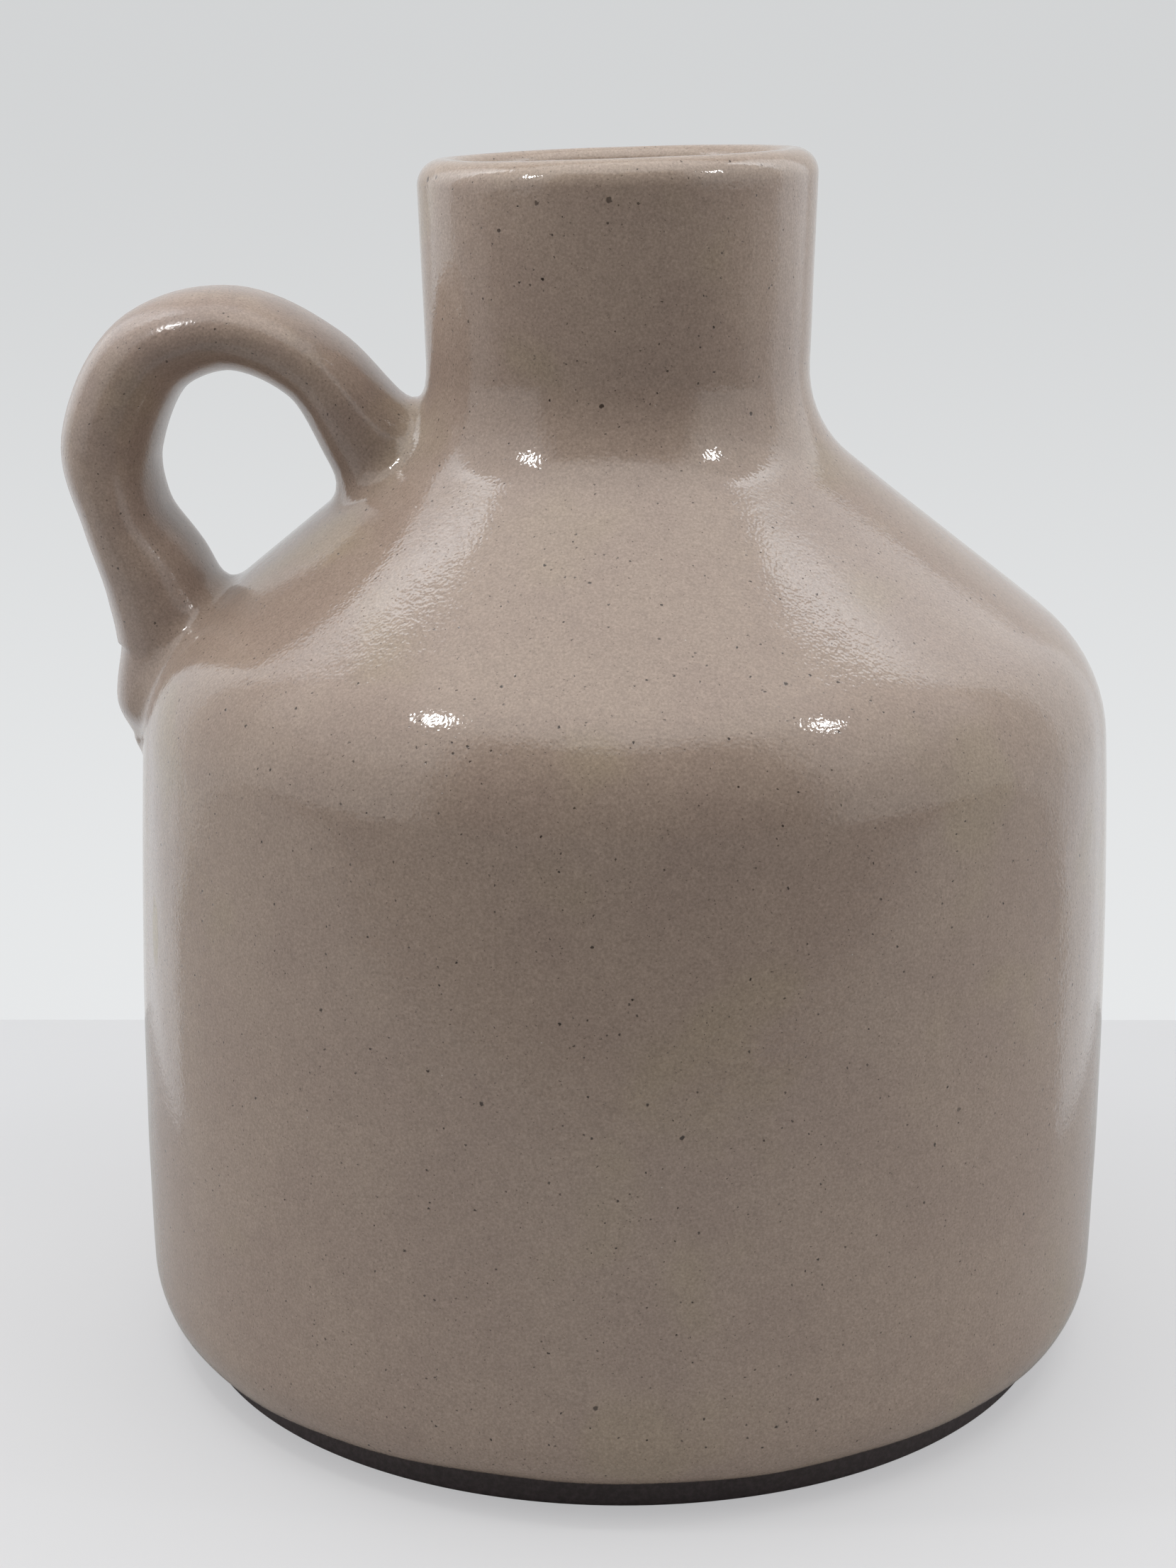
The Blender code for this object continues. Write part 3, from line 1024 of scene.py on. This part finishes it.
def table_material(tent):
    """A pale table, lit through a little, which only lights the jug as far as it reaches in front."""
    material, graph = new_graph("pale table")
    place = graph.axes(graph.place())
    lit = place["Y"].step(-tent.table_front - 50 * MM, -tent.table_front + 30 * MM)
    colour = graph.mix(lit, tuple(c * 0.3 for c in tent.table), tuple(tent.table))
    matt = {"Roughness": 0.7, "Specular IOR Level": 0.2}
    giving = graph.node("ShaderNodeBsdfPrincipled", None, {**matt, "Base Color": colour})[0]
    glow = tent.table_glow
    glowing = {"Emission Color": (glow, glow, glow * 1.02, 1.0), "Emission Strength": 1.0}
    inputs = {**matt, **glowing, "Base Color": (*tent.table_seen, 1.0)}
    seen = graph.node("ShaderNodeBsdfPrincipled", None, inputs)[0]
    looked_at = graph.node("ShaderNodeLightPath")["Is Camera Ray"]
    both = graph.node("ShaderNodeMixShader", None, {0: looked_at, 1: giving, 2: seen})[0]
    graph.surface(both)
    return material


def far_floor_material(tone):
    """The floor far off, as pale as the background, which fades in round the table."""
    material, graph = new_graph("pale floor far off")
    place = graph.place()
    reach = graph.vector("LENGTH", {0: place})["Value"]
    glow = graph.node("ShaderNodeEmission", None, {"Color": (*tone, 1.0)})[0]
    clear = graph.node("ShaderNodeBsdfTransparent")[0]
    mixed = graph.node("ShaderNodeMixShader", None, {0: reach.step(0.25, 0.6), 1: clear, 2: glow})[0]
    graph.surface(mixed)
    return material


def add_lamp(name, place, power):
    """A small rectangular lamp that faces the jug."""
    data = bpy.data.lights.new(name, "AREA")
    data.shape = "RECTANGLE"
    data.size, data.size_y = LAMP_SIZE
    data.energy = power
    lamp = bpy.data.objects.new(name, data)
    bpy.context.scene.collection.objects.link(lamp)
    lamp.location = place
    lamp.rotation_euler = (Vector((0.0, 0.0, 80 * MM)) - Vector(place)).to_track_quat("-Z", "Y").to_euler()
    lamp.visible_camera = False


class JUG_OT_stage(bpy.types.Operator):
    """Sets the table, the light tent and the camera"""

    bl_idname = "jug.stage"
    bl_label = "Stage"

    def execute(self, context):
        tent = context.scene.jug_tent
        wide, high, rear = tent.wall_distance, tent.wall_height, tent.rear_distance
        stage_object("table", level_square(FLOOR_REACH, 0.0), table_material(tent))
        floor = far_floor_material(tuple(tent.background))
        distant = stage_object("far_floor", level_square(FLOOR_REACH, 0.2 * MM), floor)
        distant.visible_diffuse = False
        distant.visible_glossy = False
        distant.visible_shadow = False

        walls = (("right_wall", 1, tent.right_wall_front), ("left_wall", -1, tent.left_wall_front))
        for name, side, front in walls:
            cloth = wall_material(name, tent, front)
            x = side * wide
            corners = [(x, front, 0), (x, rear, 0), (x, rear, high), (x, front, high)]
            stage_object(name, corners if side < 0 else corners[::-1], cloth, seen=False)
        cloth = backdrop_material(tent)
        end = BACKDROP_REACH
        corners = [(-end, rear, 0), (end, rear, 0), (end, rear, high), (-end, rear, high)]
        stage_object("backdrop", corners, cloth)

        add_lamp("right_lamp", RIGHT_LAMP_PLACE, tent.right_lamp)
        add_lamp("left_lamp", LEFT_LAMP_PLACE, tent.left_lamp)
        self.add_world(context, tent)
        self.add_camera(context)
        context.scene.view_settings.view_transform = "Standard"
        return {"FINISHED"}

    def add_world(self, context, tent):
        """Light from above and from both sides but not from the front, and a pale studio to look at."""
        world = bpy.data.worlds.new("studio")
        context.scene.world = world
        world.use_nodes = True
        graph = Graph(world.node_tree)
        towards = graph.axes(graph.place())
        above = towards["Z"].step(0.80, 0.92)
        beside = (towards["X"].maths("ABSOLUTE") - towards["Y"].maths("ABSOLUTE")).step(-0.12, 0.2)
        side = tent.room + (tent.beside - tent.room) * towards["Z"].step(0.40, 0.60)
        light = above * tent.overhead + (1.0 - above) * beside * side
        colour = graph.node("ShaderNodeCombineColor", None, {0: light, 1: light, 2: light})[0]
        sky = graph.node("ShaderNodeBackground", None, {"Color": colour})[0]
        pale = graph.node("ShaderNodeBackground", None, {"Color": (*tent.background, 1.0)})[0]
        looked_at = graph.node("ShaderNodeLightPath")["Is Camera Ray"]
        studio = graph.node("ShaderNodeMixShader", None, {0: looked_at, 1: sky, 2: pale})[0]
        graph.node("ShaderNodeOutputWorld", None, {"Surface": studio})

    def add_camera(self, context):
        """The camera where the photograph was taken from."""
        yaw, pitch, roll = CAMERA_TURNS
        data = bpy.data.cameras.new("camera")
        data.type = "PERSP"
        data.sensor_fit = "AUTO"
        data.sensor_width = 36.0
        data.lens = CAMERA_LENS
        data.clip_start, data.clip_end = 0.01, 20.0
        camera = bpy.data.objects.new("camera", data)
        context.scene.collection.objects.link(camera)
        ahead = Vector((math.sin(yaw) * math.cos(pitch), math.cos(yaw) * math.cos(pitch), -math.sin(pitch)))
        level = Vector((math.cos(yaw), -math.sin(yaw), 0.0))
        above = level.cross(ahead)
        right = level * math.cos(roll) + above * math.sin(roll)
        up = above * math.cos(roll) - level * math.sin(roll)
        turn = Matrix((right, up, -ahead)).transposed().to_4x4()
        camera.matrix_world = Matrix.Translation(CAMERA_PLACE) @ turn
        context.scene.camera = camera


class JUG_PT_panel(bpy.types.Panel):
    """Sizes, colours and steps of the jug"""

    bl_idname = "JUG_PT_panel"
    bl_label = "Stoneware Jug"
    bl_space_type = "VIEW_3D"
    bl_region_type = "UI"
    bl_category = "Jug"

    def draw(self, context):
        for group in (context.scene.jug_shape, context.scene.jug_glaze, context.scene.jug_tent):
            for name in group.__annotations__:
                self.layout.prop(group, name)
        for operator in OPERATORS:
            self.layout.operator(operator.bl_idname)


OPERATORS = (JUG_OT_foot, JUG_OT_body, JUG_OT_stage)
CLASSES = (JugShape, JugGlaze, JugTent, *OPERATORS, JUG_PT_panel)


def register():
    for cls in CLASSES:
        bpy.utils.register_class(cls)
    bpy.types.Scene.jug_shape = PointerProperty(type=JugShape)
    bpy.types.Scene.jug_glaze = PointerProperty(type=JugGlaze)
    bpy.types.Scene.jug_tent = PointerProperty(type=JugTent)


def unregister():
    del bpy.types.Scene.jug_shape
    del bpy.types.Scene.jug_glaze
    del bpy.types.Scene.jug_tent
    for cls in reversed(CLASSES):
        bpy.utils.unregister_class(cls)


def main():
    register()
    bpy.ops.jug.foot()
    bpy.ops.jug.body()
    bpy.ops.jug.stage()


if __name__ == "__main__":
    main()
